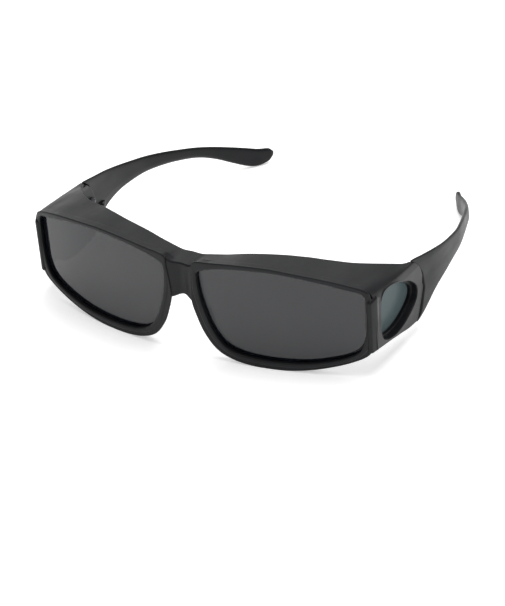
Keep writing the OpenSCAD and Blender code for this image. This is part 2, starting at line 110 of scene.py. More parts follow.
def blend(a, b, c, d, t):
    """A point of the smooth curve from b to c."""
    return tuple(
        0.5 * (2 * q + (r - p) * t + (2 * p - 5 * q + 4 * r - s) * t * t + (3 * q - p - 3 * r + s) * t**3)
        for p, q, r, s in zip(a, b, c, d)
    )


def closed_curve(points, steps):
    """Smooth closed line through all the points, with so many steps for each span."""
    n = len(points)
    return [
        blend(points[i - 1], points[i], points[(i + 1) % n], points[(i + 2) % n], k / steps)
        for i in range(n)
        for k in range(steps)
    ]


def open_curve(points, steps):
    """Smooth line from the first point to the last, with so many steps for each span."""
    last = len(points) - 1
    out = [
        blend(points[max(i - 1, 0)], points[i], points[i + 1], points[min(i + 2, last)], k / steps)
        for i in range(last)
        for k in range(steps)
    ]
    return out + [tuple(float(v) for v in points[-1])]


def lookup(x, table):
    """Straight-line value of a table of pairs at x, level beyond its ends."""
    if x <= table[0][0]:
        return table[0][1]
    for (x0, y0), (x1, y1) in zip(table, table[1:]):
        if x <= x1:
            return y0 + (y1 - y0) * (x - x0) / (x1 - x0)
    return table[-1][1]


def ramp(a, b, v):
    """0 at a, 1 at b and straight between them."""
    return max(0.0, min(1.0, (v - a) / (b - a)))


def ease(t):
    """Slow start and end for a share from 0 to 1."""
    return t * t * (3 - 2 * t)


def bump(x, w):
    """Round hump, 1 at 0 and nothing from w outward."""
    return math.cos(math.pi / 2 * x / w) ** 2 if abs(x) < w else 0.0


def rounded(points, radii, steps):
    """A closed outline of plane points with each corner turned into a short arc."""
    out = []
    n = len(points)
    for i, (p, r) in enumerate(zip(points, radii)):
        a, b = points[i - 1], points[(i + 1) % n]
        la, lb = math.dist(p, a), math.dist(p, b)
        ra, rb = min(r, la * 0.45), min(r, lb * 0.45)
        s = (p[0] + (a[0] - p[0]) * ra / la, p[1] + (a[1] - p[1]) * ra / la)
        e = (p[0] + (b[0] - p[0]) * rb / lb, p[1] + (b[1] - p[1]) * rb / lb)
        for k in range(steps + 1):
            t = k / steps
            out.append(
                tuple((1 - t) ** 2 * s[j] + 2 * t * (1 - t) * p[j] + t * t * e[j] for j in range(2))
            )
    return out


def shifted(line, i, grow):
    """Point i of a closed plane line, moved outward."""
    a, p, b = line[i - 1], line[i], line[(i + 1) % len(line)]
    length = math.dist(a, b)
    return p[0] - (b[1] - a[1]) / length * grow, p[1] + (b[0] - a[0]) / length * grow


def sweep(rings, joined):
    """Points and faces of a skin over rings of points, its ends joined or capped."""
    rows, cols = len(rings), len(rings[0])
    points = [p for ring in rings for p in ring]
    faces = []
    for i in range(rows if joined else rows - 1):
        for j in range(cols):
            a, b = i * cols, ((i + 1) % rows) * cols
            k = (j + 1) % cols
            faces.append((a + j, a + k, b + k, b + j))
    if not joined:
        faces.append(tuple(range(cols - 1, -1, -1)))
        faces.append(tuple((rows - 1) * cols + j for j in range(cols)))
    return points, faces


def mirrored(shape):
    """The same shape on the other side."""
    points, faces = shape
    return [(-p[0], p[1], p[2]) for p in points], [tuple(reversed(f)) for f in faces]


def hull_of(points):
    """Points and faces of the tight skin round a set of points."""
    bm = bmesh.new()
    for p in points:
        bm.verts.new(p)
    done = bmesh.ops.convex_hull(bm, input=bm.verts)
    spare = {v for v in done["geom_interior"] + done["geom_unused"] if isinstance(v, bmesh.types.BMVert)}
    bmesh.ops.delete(bm, geom=list(spare), context="VERTS")
    bm.verts.index_update()
    shape = [tuple(v.co) for v in bm.verts], [tuple(v.index for v in f.verts) for f in bm.faces]
    bm.free()
    return shape


def ball(centre, radius, steps=14):
    """Points spread over a ball."""
    x, y, z = centre
    out = []
    for i in range(steps + 1):
        wide = radius * math.sin(math.pi * i / steps)
        up = radius * math.cos(math.pi * i / steps)
        for j in range(steps):
            turn = 2 * math.pi * j / steps
            out.append((x + wide * math.cos(turn), y + wide * math.sin(turn), z + up))
    return out


def disc_edge(x, y, z, radius, steps=40):
    """Points round a disc that faces along X."""
    turns = [2 * math.pi * k / steps for k in range(steps)]
    return [(x, y + radius * math.cos(t), z + radius * math.sin(t)) for t in turns]


# Edges that turn by more degrees than this are kept crisp
CREASE, FINE_CREASE = 35, 20


def build(name, shapes, crease=CREASE):
    """One object in the row frame from shapes drawn in millimetres from the front datum."""
    bm = bmesh.new()
    for points, faces in shapes:
        made = [bm.verts.new((p[0] * MM, (p[1] - MID_Y) * MM, p[2] * MM)) for p in points]
        for f in faces:
            bm.faces.new([made[i] for i in f])
    bmesh.ops.remove_doubles(bm, verts=bm.verts, dist=1e-7)
    bmesh.ops.recalc_face_normals(bm, faces=bm.faces)
    mesh = bpy.data.meshes.new(name)
    bm.to_mesh(mesh)
    bm.free()
    obj = bpy.data.objects.new(name, mesh)
    bpy.context.scene.collection.objects.link(obj)
    smooth(obj, crease)
    return obj


def smooth(obj, crease):
    """Smooth shading with edges sharper than the crease angle kept crisp."""
    mesh = obj.data
    bm = bmesh.new()
    bm.from_mesh(mesh)
    limit = math.radians(crease)
    for edge in bm.edges:
        edge.smooth = len(edge.link_faces) == 2 and edge.calc_face_angle(0.0) < limit
    for face in bm.faces:
        face.smooth = True
    bm.to_mesh(mesh)
    bm.free()


def keep_result(obj, modifier):
    """Makes what the modifier gives the object's own mesh and takes the modifier off."""
    bpy.context.view_layer.update()
    evaluated = obj.evaluated_get(bpy.context.evaluated_depsgraph_get())
    old, obj.data = obj.data, bpy.data.meshes.new_from_object(evaluated)
    obj.modifiers.remove(modifier)
    obj.data.name = obj.name
    bpy.data.meshes.remove(old)
    if not obj.data.polygons:
        raise RuntimeError(f"{obj.name}: its modifier left nothing")


def cut_away(obj, cutters, crease):
    """Cuts each closed shape out of the object, leaving a plain mesh."""
    for cutter in cutters:
        tool = build("cutter", [cutter])
        modifier = obj.modifiers.new("cut", "BOOLEAN")
        modifier.operation = "DIFFERENCE"
        modifier.solver = "MANIFOLD"
        modifier.object = tool
        keep_result(obj, modifier)
        bpy.data.objects.remove(tool)
    smooth(obj, crease)


def dress(obj, material, body, slot, *nodes):
    """Gives a finished piece its material and its body, and hides the nodes it stands for."""
    obj.data.materials.clear()
    obj.data.materials.append(material)
    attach(obj, body)
    if nodes:
        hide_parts(*nodes)


# ---- materials


def new_material(name, base, roughness, **sockets):
    """A fresh material with its node tree and shader; sockets are the shader's own, by name."""
    material = bpy.data.materials.get(name)
    if material:
        bpy.data.materials.remove(material)
    material = bpy.data.materials.new(name)
    material.use_nodes = True
    shader = material.node_tree.nodes["Principled BSDF"]
    shader.inputs["Base Color"].default_value = (*base[:3], 1)
    shader.inputs["Roughness"].default_value = roughness
    for key, value in sockets.items():
        shader.inputs[key.replace("_", " ")].default_value = value
    return material, material.node_tree, shader


def noise_node(tree, scale, detail, stretch=(1, 1, 1)):
    """Noise that is fixed to the object."""
    place = tree.nodes.new("ShaderNodeTexCoord")
    mapping = tree.nodes.new("ShaderNodeMapping")
    mapping.inputs["Scale"].default_value = stretch
    noise = tree.nodes.new("ShaderNodeTexNoise")
    noise.inputs["Scale"].default_value = scale
    noise.inputs["Detail"].default_value = detail
    tree.links.new(place.outputs["Object"], mapping.inputs["Vector"])
    tree.links.new(mapping.outputs["Vector"], noise.inputs["Vector"])
    return noise.outputs["Fac"]


def ranged(tree, value, low, high, start=0.3, end=0.7):
    """The value between start and end, spread from low to high."""
    node = tree.nodes.new("ShaderNodeMapRange")
    node.inputs["From Min"].default_value = start
    node.inputs["From Max"].default_value = end
    node.inputs["To Min"].default_value = low
    node.inputs["To Max"].default_value = high
    tree.links.new(value, node.inputs["Value"])
    return node.outputs["Result"]


def mixed(tree, factor, a, b):
    """Colour a or b by the factor."""
    node = tree.nodes.new("ShaderNodeMix")
    node.data_type = "RGBA"
    # Sockets by number, since their names repeat
    tree.links.new(factor, node.inputs[0])
    node.inputs[6].default_value = (*a[:3], 1)
    node.inputs[7].default_value = (*b[:3], 1)
    return node.outputs[2]


def drive(tree, shader, **outputs):
    """Links each output to the shader's socket of that name."""
    for key, output in outputs.items():
        tree.links.new(output, shader.inputs[key.replace("_", " ")])


def add_bump(tree, shader, height, distance, strength=1.0):
    node = tree.nodes.new("ShaderNodeBump")
    node.inputs["Strength"].default_value = strength
    node.inputs["Distance"].default_value = distance
    tree.links.new(height, node.inputs["Height"])
    drive(tree, shader, Normal=node.outputs["Normal"])


def moulded_black(name, colour, roughness, gloss=0.22):
    """Satin black moulded plastic: fine spark-eroded grain, faint handling marks."""
    material, tree, shader = new_material(name, colour, roughness, Specular_IOR_Level=gloss)
    cloud = noise_node(tree, 55, 3)
    lighter = [min(1, c * 1.35 + 0.001) for c in colour[:3]]
    drive(tree, shader, Base_Color=mixed(tree, ranged(tree, cloud, 0, 1), colour, lighter))
    smear = noise_node(tree, 130, 6, (1, 0.35, 1))
    drive(tree, shader, Roughness=ranged(tree, smear, roughness - 0.05, roughness + 0.06))
    add_bump(tree, shader, noise_node(tree, 5200, 2), 0.000012, 0.5)
    return material


def tinted_lens(name, colour, tint, roughness=0.04, gloss=0.5, glow=0.0):
    """Polished smoke lens, see-through by its tint, with a trace of uneven dye and dust."""
    # The glow stands for light that passes through the lens from behind
    material, tree, shader = new_material(
        name, colour, roughness, Specular_IOR_Level=gloss, IOR=1.5,
        Emission_Color=(0.74, 0.95, 1.0, 1), Emission_Strength=glow)
    dye = noise_node(tree, 22, 2)
    deeper = [c * 0.8 for c in colour[:3]]
    drive(tree, shader, Base_Color=mixed(tree, ranged(tree, dye, 0, 1), deeper, colour))
    drive(tree, shader, Alpha=ranged(tree, dye, tint - 0.012, tint + 0.012))
    dust = noise_node(tree, 900, 4)
    drive(tree, shader, Roughness=ranged(tree, dust, roughness, roughness + 0.02, 0.55, 0.8))
    return material


def black_metal(name, colour, roughness):
    """Painted steel with slight orange peel and a duller cast in patches."""
    material, tree, shader = new_material(name, colour, roughness, Metallic=0.35)
    patch = noise_node(tree, 700, 4)
    lighter = [min(1, c * 1.8) for c in colour[:3]]
    drive(tree, shader, Base_Color=mixed(tree, ranged(tree, patch, 0, 1), colour, lighter))
    drive(tree, shader, Roughness=ranged(tree, patch, roughness - 0.07, roughness + 0.1))
    add_bump(tree, shader, noise_node(tree, 2600, 2), 0.000008)
    return material


def turned_steel(name, colour, roughness):
    """Plain steel with fine lines from turning."""
    material, tree, shader = new_material(name, colour, roughness, Metallic=1.0)
    line = noise_node(tree, 900, 3, (1, 1, 9))
    duller = [c * 0.7 for c in colour[:3]]
    drive(tree, shader, Base_Color=mixed(tree, ranged(tree, line, 0, 1), duller, colour))
    drive(tree, shader, Roughness=ranged(tree, line, roughness - 0.08, roughness + 0.12))
    add_bump(tree, shader, line, 0.000006)
    return material


# ---- settings


def length(name, description, millimetres, **limits):
    return bpy.props.FloatProperty(
        name=name, description=description, default=millimetres * MM, unit="LENGTH", **limits)


def share(name, description, default, low=0.05):
    return bpy.props.FloatProperty(
        name=name, description=description, default=default, min=low, max=1, subtype="FACTOR")


def tone(name, description, default):
    return bpy.props.FloatVectorProperty(
        name=name, description=description, default=default, min=0, max=1, subtype="COLOR")


def amount(name, description, default, low=0.0, **more):
    return bpy.props.FloatProperty(name=name, description=description, default=default, min=low, **more)


class SunglassesFrameSettings(bpy.types.PropertyGroup):
    wrap_radius: length(
        "Wrap radius", "Radius of the wrap of the front, seen from above", 166, min=0.14, max=0.22)
    face_lean: amount("Face lean", "Rearward lean of the front for each millimetre down", 0.15, max=0.3)
    front_height: length("Front height", "Height of the crest of the brow above the table", 46.85)
    wall: length("Wall", "Thickness of the brow and side walls", 2.4, min=0.0015, max=0.004)
    bead: length("Rim bead", "Height of the rim above the brow surface", 0.35)
    lip: length("Lens lip", "Width of the raised lip round each lens", 1.65)
    scoop: length("Bridge scoop", "Depth of the channel down the bridge", 1.7)
    nose_reach: length("Nose reach", "How far the nose edges of the rims reach to the rear", 6.4)
    colour: tone("Colour", "Colour of the moulding", (0.0042, 0.0046, 0.0056))
    roughness: share("Roughness", "Roughness of the satin finish", 0.4)
    rim_roughness: share("Rim roughness", "Roughness of the smoother rims", 0.2)


class SunglassesLensSettings(bpy.types.PropertyGroup):
    thickness: length("Thickness", "Thickness of a front lens", 1.8)
    reveal: length("Reveal", "Depth of a front lens behind the face of its rim", 2.2)
    side_thickness: length("Side thickness", "Thickness of a side lens", 1.6)
    side_recess: length("Side recess", "Depth of a side lens behind the outer wall", 4.3)
    colour: tone("Smoke colour", "Body colour of the front lenses", (0.0052, 0.0062, 0.0095))
    tint: share("Tint", "Share of light that a face of a front lens holds back", 0.86, 0.3)
    side_colour: tone("Side colour", "Body colour of the side lenses", (0.045, 0.066, 0.069))
    side_tint: share("Side tint", "Share of light that a face of a side lens holds back", 0.93, 0.3)


class SunglassesTempleSettings(bpy.types.PropertyGroup):
    thickness: length("Thickness", "Thickness of a temple at its joint", 2.5)
    tip_thickness: length("Tip thickness", "Thickness of a temple near its tip", 2.3)
    gap: length("Joint gap", "Gap between the side wall and the temple", 0.3)


class SunglassesHingeSettings(bpy.types.PropertyGroup):
    pin_head_radius: length("Pin head radius", "Radius of the domed heads of the leaf pins", 1.1)
    pin_head_height: length("Pin head height", "Height of the domed heads above their leaf", 0.33)
    leaf_colour: tone("Leaf colour", "Colour of the painted leaves", (0.03, 0.031, 0.034))
    steel_colour: tone("Steel colour", "Colour of the screws and pins", (0.09, 0.09, 0.095))


class SunglassesStageSettings(bpy.types.PropertyGroup):
    floor_colour: tone("Floor colour", "Colour of the floor", (0.96, 0.96, 0.96))
    floor_reach: amount("Floor reach", "Metres from the middle of the floor to its edges", 6.0, 1.0)
    floor_glow: amount("Floor glow", "Light that the floor gives off by itself", 0.42)
    sky: amount("Sky", "Strength of the light from all round", 0.5)
    top_light: amount("Top light", "Power of the large light overhead", 8, subtype="POWER")
    back_light: amount("Back light", "Power of the light high behind", 3, subtype="POWER")
    camera_lens: amount("Camera lens", "Focal length of the camera in millimetres", 180.0, 20.0)


SETTINGS = {
    "sunglasses_frame": SunglassesFrameSettings,
    "sunglasses_lenses": SunglassesLensSettings,
    "sunglasses_temples": SunglassesTempleSettings,
    "sunglasses_hinges": SunglassesHingeSettings,
    "sunglasses_stage": SunglassesStageSettings,
}


# ---- front moulding


# Angles of a quarter turn, for edges that are rounded over
QUARTER = [math.pi / 2 * k / 6 for k in range(7)]


class Moulding:
    """The front's surfaces, in millimetres from the front datum, from the settings."""

    rim_steps = 7
    wall_rows = 34
    face_y = 1.4
    half_width = 73.6
    # The skin starts this far behind the face, and less where the rim is narrow, over the corner's x
    hood_start, corner_tuck, corner, corner_y = 3.95, 2.6, (65, 69), 27
    edge = 0.6
    splay = 0.45
    # Spokes between which the nose edge splays, and over which the brow leaves the rim free
    nose_spokes = (19, 22.5)
    free_from, free_to = (7, 8.5), (24, 22)
    # Underside of the bridge, and how much higher its middle is
    arch_z, arch_rise = 24.6, 1.8
    # Half width of the channel down the bridge, by height
    channel = [(24, 5.4), (33, 5.3), (38, 5.9), (42, 6.5)]

    def __init__(self, scene):
        s, lens = scene.sunglasses_frame, scene.sunglasses_lenses
        self.wrap, self.lean, self.height = s.wrap_radius / MM, s.face_lean, s.front_height / MM
        self.wall, self.bead, self.lip = s.wall / MM, s.bead / MM, s.lip / MM
        self.scoop, self.reach = s.scoop / MM, s.nose_reach / MM
        # The lens sits in a groove that is a little wider than it is thick
        self.reveal = lens.reveal / MM - 0.15
        self.groove = lens.thickness / MM + 0.3
        self.depth = self.reveal + self.groove + 1.0
        self.low = open_curve(SIDE_LOW, 6)
        self.rear = open_curve(BROW_REAR, 6)
        self.brow = open_curve(BROW, 6)
        self.brow_top = [(b[0], b[1]) for b in self.brow]
        self.falls = [(b[0], b[2]) for b in self.brow]
        self.shoulder = len(self.brow) - 1
        self.last = self.shoulder + self.wall_rows
        self.rim_line = closed_curve(SPOKES, self.rim_steps)

    def face(self, x, z):
        """The y of the curved, leaning face."""
        return self.face_y + self.wrap - math.sqrt(self.wrap**2 - x * x) + self.lean * (self.height - z)

    # rims

    def rim_at(self, spoke, w, d):
        """A point w out along a spoke and d behind the face."""
        x0, z0, x1, z1 = spoke
        length = math.hypot(x1 - x0, z1 - z0)
        x, z = x0 + (x1 - x0) / length * w, z0 + (z1 - z0) / length * w
        return (x, self.face(x, z) + d, z)

    def nose_share(self, i):
        """How much station i of the rim takes part in the nose edge, 1 in its middle."""
        first, last = (spoke * self.rim_steps for spoke in self.nose_spokes)
        return 0 if i <= first or i >= last else math.sin(math.pi * (i - first) / (last - first))

    def free_share(self, i):
        """1 where the rim runs free of the brow, easing to 0 under it."""
        n = self.rim_steps
        start, end = ([spoke * n for spoke in pair] for pair in (self.free_from, self.free_to))
        return ease(ramp(*start, i)) * ease(ramp(*end, i))

    def crest(self, spoke, w, upright, free):
        """Width at which the crest meets the brow's skin."""
        width = w - self.bead + 0.04
        if upright > 0.6:
            over = (lookup(spoke[2], self.brow_top) + 0.05 - spoke[1]) / upright
            wanted = max(min(over, w - 0.08), w - 0.6)
            width += (wanted - width) * ease(ramp(0.6, 0.9, upright)) * (1 - free)
        return width

    def rim(self):
        """One rim. Its section is drawn as pairs of width outward and depth behind the face."""
        e = self.edge
        rings = []
        for i in range(len(self.rim_line) - 1, -1, -1):
            spoke = self.rim_line[i]
            w = math.hypot(spoke[2] - spoke[0], spoke[3] - spoke[1])
            nose, g = self.nose_share(i), self.free_share(i)
            lean, lip = self.splay * nose, min(self.lip, w - 1.0)
            floor = max(w - 2.4 - self.splay * nose * self.depth, 0.4 * w)
            rear = self.depth + 0.05 + (self.reach - self.depth) * nose
            # Behind its crest the rim falls away with the brow
            fall = lookup(spoke[2], self.falls) * (1 - g)
            o = self.crest(spoke, w, (spoke[3] - spoke[1]) / w, g)
            section = [
                (0, e), (0, self.reveal), (1, self.reveal), (1, self.reveal + self.groove),
                (0, self.reveal + self.groove), (0, self.depth), (floor, self.depth),
                (floor + e / 4, rear), (w - 2 * e - lean * (rear - 1.2), rear),
                (o - fall * (rear - e) - lean * (rear - e - 1.2), rear - e),
                (o - fall * 1.3 - lean * 0.3, 1.3), (w - 0.12, 1.1), (w - 0.02, 0.9), (w - 0.02, 0.45),
                (w - 0.3, 0.2), ((w - 0.6) * (1 - g) + (lip + 0.4) * g, 0.17 + 0.33 * g),
                ((w - 0.9) * (1 - g) + lip * g, 0.14), (e, 0.18),
            ]
            radii = [
                0.3, 0.1, 0.05, 0.05, 0.1, 0.4, 0.3, 0.3, 0.5,
                0.3, 0.15, 0.1, 0.2, 0.2, 0.2, 0.15, 0.2, 0.3,
            ]
            rings.append([self.rim_at(spoke, *p) for p in rounded(section, radii, 5)])
        return sweep(rings, True)

    # bridge

    def half_at(self, z):
        return lookup(z, self.channel)

    def front(self, x, z):
        """The y of the channel's surface."""
        return self.face(x, z) + 0.75 + self.scoop * bump(x, self.half_at(z))

    def bridge(self):
        """The bridge, as rings from one rim to the other."""
        e, rings, n = self.edge, [], 24
        base, head = self.channel[0][1], self.channel[-1][1]
        for i in range(n, -n - 1, -1):
            x = base * i / n
            top = lookup(abs(x) * head / base, self.brow_top) + 0.03
            arch = self.arch_z + self.arch_rise * bump(x, base)
            # Height, distance behind the surface, and whether that is the channel or the plain face
            section = [
                (top, e, 1), (top - e, 0, 1), (arch + e, 0, 1), (arch, e, 1),
                (arch, self.reach - e, 0), (arch + 3, self.reach - 2 * e, 0),
                (top - 2.2, self.reach - e, 0), (top, 4.8, 0),
            ]
            # Heights along the channel are filled in so that its ends follow the rims
            ring = []
            for a, b in zip(section, section[1:] + section[:1]):
                steps = 14 if abs(a[0] - b[0]) > 5 else 3
                for k in range(steps):
                    t = k / steps
                    z = a[0] + (b[0] - a[0]) * t
                    q = x * self.half_at(z) / base
                    ya = (self.front(q, z) if a[2] else self.face(q, z)) + a[1]
                    yb = (self.front(q, z) if b[2] else self.face(q, z)) + b[1]
                    ring.append((q, ya + (yb - ya) * t, z))
            rings.append(ring)
        return sweep(rings, False)

    # brow and side walls

    def flared(self, x, y):
        """An x at the face, carried to the rear with the walls' outward flare."""
        return x * lookup(y, FLARE) / FLARE[0][1]

    def row(self, i, y):
        """The x and z of row i of the skin, counted outward along the brow and down the wall."""
        b = self.brow[int(min(i, self.shoulder))]
        z = b[1] + b[2] * (self.face(b[0], b[1]) - y)
        if i > self.shoulder:
            z += (lookup(y, self.low) - z) * (i - self.shoulder) / self.wall_rows
        return self.flared(b[0], y), z

    def skin_at(self, i, y, d):
        """A point d under the skin."""
        p = self.row(i, y)
        if i == 0:
            return (p[0], y, p[1] - d)
        a, b = self.row(i - 1, y), self.row(min(i + 1, self.last), y)
        length = math.dist(a, b)
        return (p[0] + d * (b[1] - a[1]) / length, y, p[1] - d * (b[0] - a[0]) / length)

    def row_ends(self, i):
        """The y at which a row starts behind its rim, and where it ends at the rear."""
        b = self.brow[int(min(i, self.shoulder))]
        z = self.row(i, self.corner_y)[1]
        start = self.face(b[0], z) + self.hood_start - self.corner_tuck * ease(ramp(*self.corner, b[0]))
        if b[0] < self.channel[0][1] + 0.1:
            start = self.front(b[0], z) + self.edge
        # The brow ends at its own rear edge, the wall at the joint's arc, found in a few steps
        brow_end = lookup(b[0], self.rear) if b[0] < BROW_REAR[-1][0] else math.inf
        end = 50
        for _ in range(9):
            z = self.row(i, end)[1]
            end = min(brow_end, JOINT[0] + math.sqrt(max(JOINT[2] ** 2 - (z - JOINT[1]) ** 2, 0)))
        return start, end

    def station(self, i, inset=0.0):
        """One ring of the skin: along the outside, round the rear edge and back inside."""
        a, b = self.row_ends(i)
        r, n, d, w = 0.35, 44, inset, self.wall - inset
        ring = [self.skin_at(i, a + (b - r - a) * k / n, d) for k in range(n)]
        ring += [self.skin_at(i, b - r + r * math.sin(t), d + r - r * math.cos(t)) for t in QUARTER]
        ring += [self.skin_at(i, b - r + r * math.cos(t), w - r + r * math.sin(t)) for t in QUARTER]
        ring += [self.skin_at(i, a + (b - r - a) * k / n, w) for k in range(n - 1, -1, -1)]
        return ring

    def hood(self):
        """Brow and side walls in one skin."""
        half = [self.station(i) for i in range(self.last)]
        # The lower edge of each wall is rounded over
        for t in QUARTER:
            half.append(self.station(self.last - 0.7 + 0.7 * math.sin(t), 0.45 - 0.45 * math.cos(t)))
        other = [[(-p[0], p[1], p[2]) for p in ring] for ring in half[:0:-1]]
        return sweep(other + half, False)

    # side window

    def window_line(self, grow):
        """The window's outline, grown outward, as pairs of y and z."""
        line = closed_curve(WINDOW, 8)
        return [shifted(line, i, grow) for i in range(len(line))]

    def window_hole(self):
        """A plug through the side wall, under the lip of the window's frame."""
        line = self.window_line(0.45)
        return sweep([[(x, y, z) for y, z in line] for x in (60, 80)], False)

    def window_frame(self, lens):
        """Stepped tunnel of the window with a fine lip on the wall."""
        side_x = self.half_width - lens.side_recess / MM
        side_rear = side_x - lens.side_thickness / MM
        inner = side_rear - 1.2
        # Distance outward from the outline, and x, taken from the wall where the flag is set
        section = [
            (0.82, -1.4, 1), (0.82, -0.3, 1), (0.5, 0.005, 1), (0.25, 0.0, 1), (0, -0.25, 1),
            (0, 71.0, 0), (-1.0, 71.0, 0), (-1.0, side_x + 0.15, 0), (0, side_x + 0.15, 0),
            (0, side_rear - 0.15, 0), (-1.0, side_rear - 0.15, 0),
            (-1.0, inner, 0), (0.82, inner, 0), (0.82, 70.5, 0),
        ]
        radii = [0.1, 0.08, 0.12, 0.12, 0.15, 0.12, 0.25, 0.2, 0.05, 0.05, 0.1, 0.35, 0.35, 0.05]
        rings, base = [], self.window_line(0)
        for i, (y, _z) in enumerate(base):
            wall = self.flared(self.brow[-1][0], y)
            plane = [(o, x + wall if flag else x) for o, x, flag in section]
            rings.append([(x, *shifted(base, i, o)) for o, x in rounded(plane, radii, 3)])
        return sweep(rings, True)

    # small forms

    def corner_fillet(self):
        """Web in the corner below the window, between rim and side wall."""
        return hull_of(
            ball((70.6, 24.6, 11.5), 1.0) + ball((71.8, 25.6, 17.0), 1.0) + ball((72.3, 36.0, 11.6), 0.8))

    def leaf_seats(self):
        """Low pads on the side wall under the two arms of the hinge leaf."""
        seat = self.half_width - 2.7
        shapes = []
        for y, z in FRONT_PINS:
            points = []
            for x, inset in ((seat, 0.15), (seat + 0.15, 0.0), (72.1, 0.0)):
                points += disc_edge(x, HINGE[1] - 2.9, HINGE[2] + z * 0.2, 1.7 - inset)
                points += disc_edge(x, HINGE[1] + y, HINGE[2] + z, 2.0 - inset)
            shapes.append(hull_of(points))
        return shapes

    def pillar(self):
        """Round-topped bead that leans with the face between rim and side window."""
        # Distance in from the wall and back from the face, lower and upper end
        profile = ((2.35, 0.35, 12.2, 34.2), (1.5, 2.8, 12.6, 35.4), (1.85, 5.6, 13.4, 34.2))
        points = []
        for x, y, low, high in profile:
            for z, inset in ((low, 0.2), (high, 0.0)):
                centre = (self.half_width - x - inset, self.face(72, z) + y, z)
                points += ball(centre, 1.2, 32)
        return hull_of(points)


class SUNGLASSES_OT_front(bpy.types.Operator):
    """Make the one-piece front: rims, brow, side walls, window frames and bridge"""

    bl_idname = "sunglasses.front"
    bl_label = "Front moulding"

    def execute(self, context):
        s = context.scene.sunglasses_frame
        m = Moulding(context.scene)
        satin = moulded_black("satin_black", s.colour, s.roughness)
        smoother = moulded_black("smooth_black_rim", s.colour, s.rim_roughness, 0.34)
        hood = build("front_moulding", [m.hood()])
        hole = m.window_hole()
        cut_away(hood, [hole, mirrored(hole)], FINE_CREASE)
        window = m.window_frame(context.scene.sunglasses_lenses)
        rest = [m.bridge(), window, mirrored(window)]
        for seat in m.leaf_seats():
            rest += [seat, mirrored(seat)]
        join_into(hood, build("bridge_and_windows", rest))
        for shape in (m.corner_fillet(), m.pillar()):
            for one, cutter in ((shape, hole), (mirrored(shape), mirrored(hole))):
                piece = build("pillar_piece", [one])
                cut_away(piece, [cutter], FINE_CREASE)
                join_into(hood, piece)
        rim = m.rim()
        rims = build("lens_rims", [rim, mirrored(rim)], FINE_CREASE)
        for face in rims.data.polygons:
            face.material_index = 1
        join_into(hood, rims)
        level_underside(hood)
        dress(hood, satin, "front", "frame", "front_frame")
        hood.data.materials.append(smoother)
        return {"FINISHED"}


def join_into(obj, other):
    """Adds the other object's mesh to the first and removes the other."""
    bm = bmesh.new()
    bm.from_mesh(obj.data)
    bm.from_mesh(other.data)
    bm.to_mesh(obj.data)
    bm.free()
    mesh = other.data
    bpy.data.objects.remove(other)
    bpy.data.meshes.remove(mesh)


def level_underside(obj):
    """Flattens what dips below the table onto it, as the rims' small resting flats."""
    for v in obj.data.vertices:
        if v.co.z < 0:
            v.co.z = 0


# ---- lenses


def lens_shape(outline, depth, rings=16):
    """A closed slab over a star-shaped outline: depth(x, z, side) gives the y of its two faces."""
    cx = sum(p[0] for p in outline) / len(outline)
    cz = sum(p[1] for p in outline) / len(outline)
    points, faces, n = [], [], len(outline)
    for side in (0, 1):
        base = len(points)
        points.append((cx, depth(cx, cz, side), cz))
        for r in range(1, rings + 1):
            for x, z in outline:
                t = r / rings
                px, pz = cx + (x - cx) * t, cz + (z - cz) * t
                points.append((px, depth(px, pz, side), pz))
        turn = (lambda f: f) if side else (lambda f: tuple(reversed(f)))
        for j in range(n):
            k = (j + 1) % n
            faces.append(turn((base, base + 1 + j, base + 1 + k)))
            for r in range(rings - 1):
                a, b = base + 1 + r * n, base + 1 + (r + 1) * n
                faces.append(turn((a + j, b + j, b + k, a + k)))
    outer, inner = 1 + (rings - 1) * n, (1 + rings * n) + 1 + (rings - 1) * n
    for j in range(n):
        k = (j + 1) % n
        faces.append((outer + j, outer + k, inner + k, inner + j))
    return points, faces


class SUNGLASSES_OT_front_lenses(bpy.types.Operator):
    """Make the two curved front lenses"""

    bl_idname = "sunglasses.front_lenses"
    bl_label = "Front lenses"

    def execute(self, context):
        m, s = Moulding(context.scene), context.scene.sunglasses_lenses
        # The lens reaches 0.85 into the rim's groove
        edge = [m.rim_at(spoke, 0.85, 0) for spoke in m.rim_line]
        outline = [(p[0], p[2]) for p in edge]
        front, thick = s.reveal / MM, s.thickness / MM

        def depth(x, z, side):
            return m.face(x, z) + front + thick * side

        shape = lens_shape(outline, depth)
        material = tinted_lens("smoke_lens", s.colour, s.tint)
        for name, one in (("right", shape), ("left", mirrored(shape))):
            lens = build(f"{name}_curved_lens", [one], crease=50)
            dress(lens, material, "front", "front_lenses", f"{name}_front_lens")
        return {"FINISHED"}


class SUNGLASSES_OT_side_lenses(bpy.types.Operator):
    """Make the two small lenses of the side windows"""

    bl_idname = "sunglasses.side_lenses"
    bl_label = "Side lenses"

    def execute(self, context):
        m, s = Moulding(context.scene), context.scene.sunglasses_lenses
        # A little smaller than the window, between its two seats
        outline = m.window_line(-0.2)
        outer = m.half_width - s.side_recess / MM

        def depth(y, z, side):
            return outer - side * s.side_thickness / MM

        points, faces = lens_shape(outline, depth, 6)
        # The slab is drawn along Y and turned to face along X
        points = [(p[1], p[0], p[2]) for p in points]
        material = tinted_lens("side_smoke_lens", s.side_colour, s.side_tint, 0.24, 0.04, 0.042)
        for name, one in (("right", (points, faces)), ("left", mirrored((points, faces)))):
            lens = build(f"{name}_window_lens", [one], crease=50)
            dress(lens, material, "front", "side_lenses", f"{name}_side_lens")
        return {"FINISHED"}


# ---- temples


